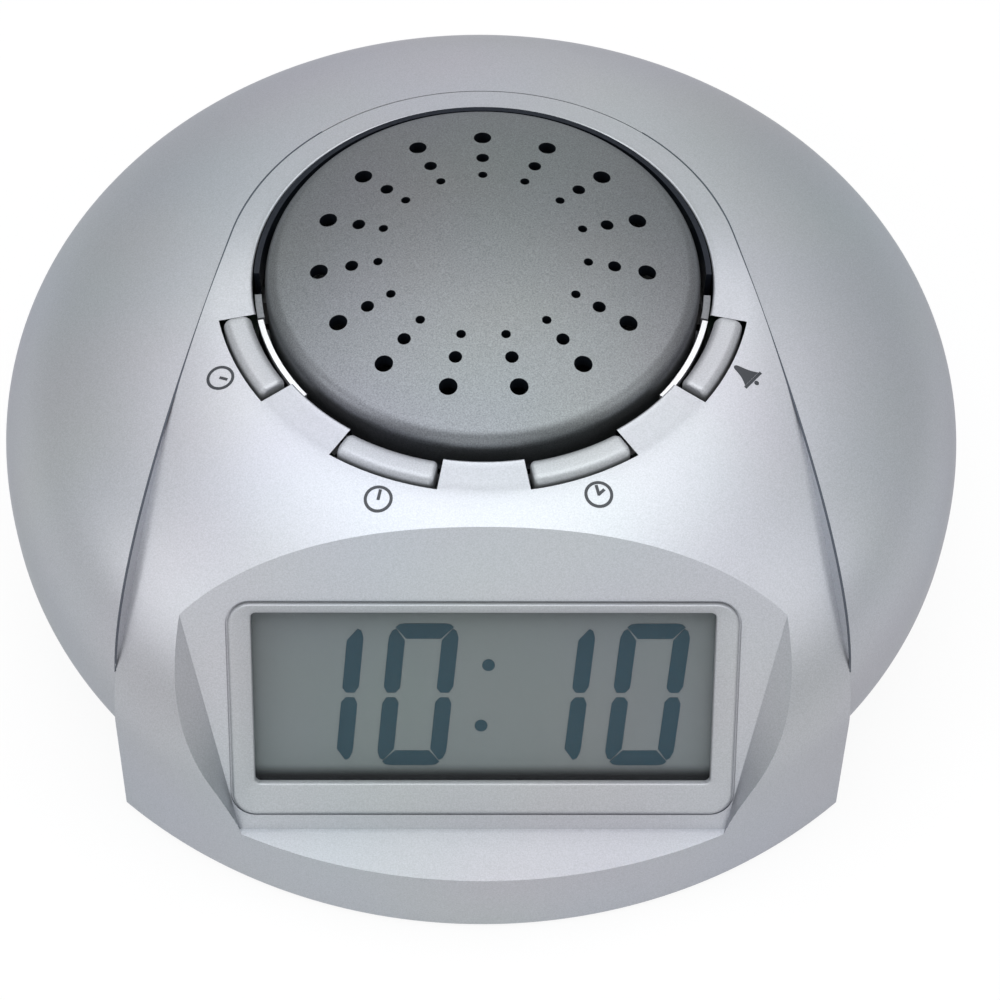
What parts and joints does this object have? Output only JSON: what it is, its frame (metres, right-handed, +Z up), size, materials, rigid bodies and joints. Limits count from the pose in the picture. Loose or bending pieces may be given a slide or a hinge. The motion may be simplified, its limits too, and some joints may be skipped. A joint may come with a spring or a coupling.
{
  "type": "talking clock",
  "caption": "Round domed talking clock with a large perforated talk button, arc-shaped set keys round it and a tilted liquid crystal display in a hooded front.",
  "frame": {"origin": "middle of the table contact plane, under the centre of the bounding box", "axes": "+X to the right as seen from the front, -Y towards the user and the display, +Z up"},
  "size_m": [0.11, 0.1118, 0.0423],
  "materials": {
    "body_silver": "silver-grey metallic paint with a fine grain",
    "bezel_silver": "silver-grey metallic paint",
    "button_grey": "darker grey metallic paint with coarse flakes",
    "key_silver": "light silver paint",
    "bright_ring": "bright silver",
    "dark_ring": "smooth moulded black",
    "guide_grey": "moulded grey",
    "clear_window": "clear",
    "lcd": "grey-green reflective ground",
    "dark_plastic": "moulded black",
    "base_grey": "moulded grey",
    "soft_contact": "soft conducting strip",
    "board_green": "solder mask",
    "spring_steel": "plated",
    "speaker_metal": "pressed steel",
    "speaker_paper": "clear film over black",
    "magnet_dark": "dark ferrite",
    "cell_jacket": "plain jacket",
    "feet_rubber": "black rubber"
  },
  "bodies": {
    "case": {"alarm_switch_body": "dark_plastic", "base_plate": "base_grey", "batteries": "cell_jacket", "battery_plates": "spring_steel", "battery_springs": "spring_steel", "board_screws": "spring_steel", "case_screws": "spring_steel", "crystal": "spring_steel", "display_bezel": "bezel_silver", "display_board": "board_green", "display_screws": "spring_steel", "display_window": "clear_window", "front_collar": "bright_ring", "front_cover": "body_silver", "guide_posts": "guide_grey", "key_board": "board_green", "key_switches": "dark_plastic", "lcd_glass": "lcd", "lcd_holder": "dark_plastic", "main_board": "board_green", "rear_collar": "dark_ring", "rear_cover": "body_silver", "rubber_feet": "feet_rubber", "speaker_cone": "speaker_paper", "speaker_frame": "speaker_metal", "speaker_magnet": "magnet_dark", "speaker_ring": "base_grey", "speaker_screws": "spring_steel", "talk_springs": "spring_steel", "talk_switches": "dark_plastic", "voice_chip": "dark_plastic", "zebra_strips": "soft_contact"},
    "talk": {"talk_button": "button_grey"},
    "hour": {"hour_key": "key_silver"},
    "minute": {"minute_key": "key_silver"},
    "time": {"time_key": "key_silver"},
    "alarm": {"alarm_key": "key_silver"},
    "door": {"battery_door": "base_grey"},
    "alarm_slide": {"alarm_switch_knob": "base_grey"}
  },
  "joints": [
    {"name": "talk_press", "type": "slide", "parent": "case", "child": "talk", "axis": [0, 0, -1], "range_m": [0, 0.0012], "stiffness_N_per_m": 800, "springref_m": -0.001, "deforming": ["talk_springs"]},
    {"name": "hour_press", "type": "slide", "parent": "case", "child": "hour", "axis": [0, 0, -1], "range_m": [0, 0.0005], "stiffness_N_per_m": 600, "springref_m": -0.0006},
    {"name": "minute_press", "type": "slide", "parent": "case", "child": "minute", "axis": [0, 0, -1], "range_m": [0, 0.0005], "stiffness_N_per_m": 600, "springref_m": -0.0006},
    {"name": "time_press", "type": "slide", "parent": "case", "child": "time", "axis": [0, 0, -1], "range_m": [0, 0.0005], "stiffness_N_per_m": 600, "springref_m": -0.0006},
    {"name": "alarm_press", "type": "slide", "parent": "case", "child": "alarm", "axis": [0, 0, -1], "range_m": [0, 0.0005], "stiffness_N_per_m": 600, "springref_m": -0.0006},
    {"name": "door_slide", "type": "slide", "parent": "case", "child": "door", "axis": [0, 1, 0], "range_m": [0, 0.005]},
    {"name": "alarm_switch_slide", "type": "slide", "parent": "case", "child": "alarm_slide", "axis": [1, 0, 0], "range_m": [0, 0.0044]}
  ]
}
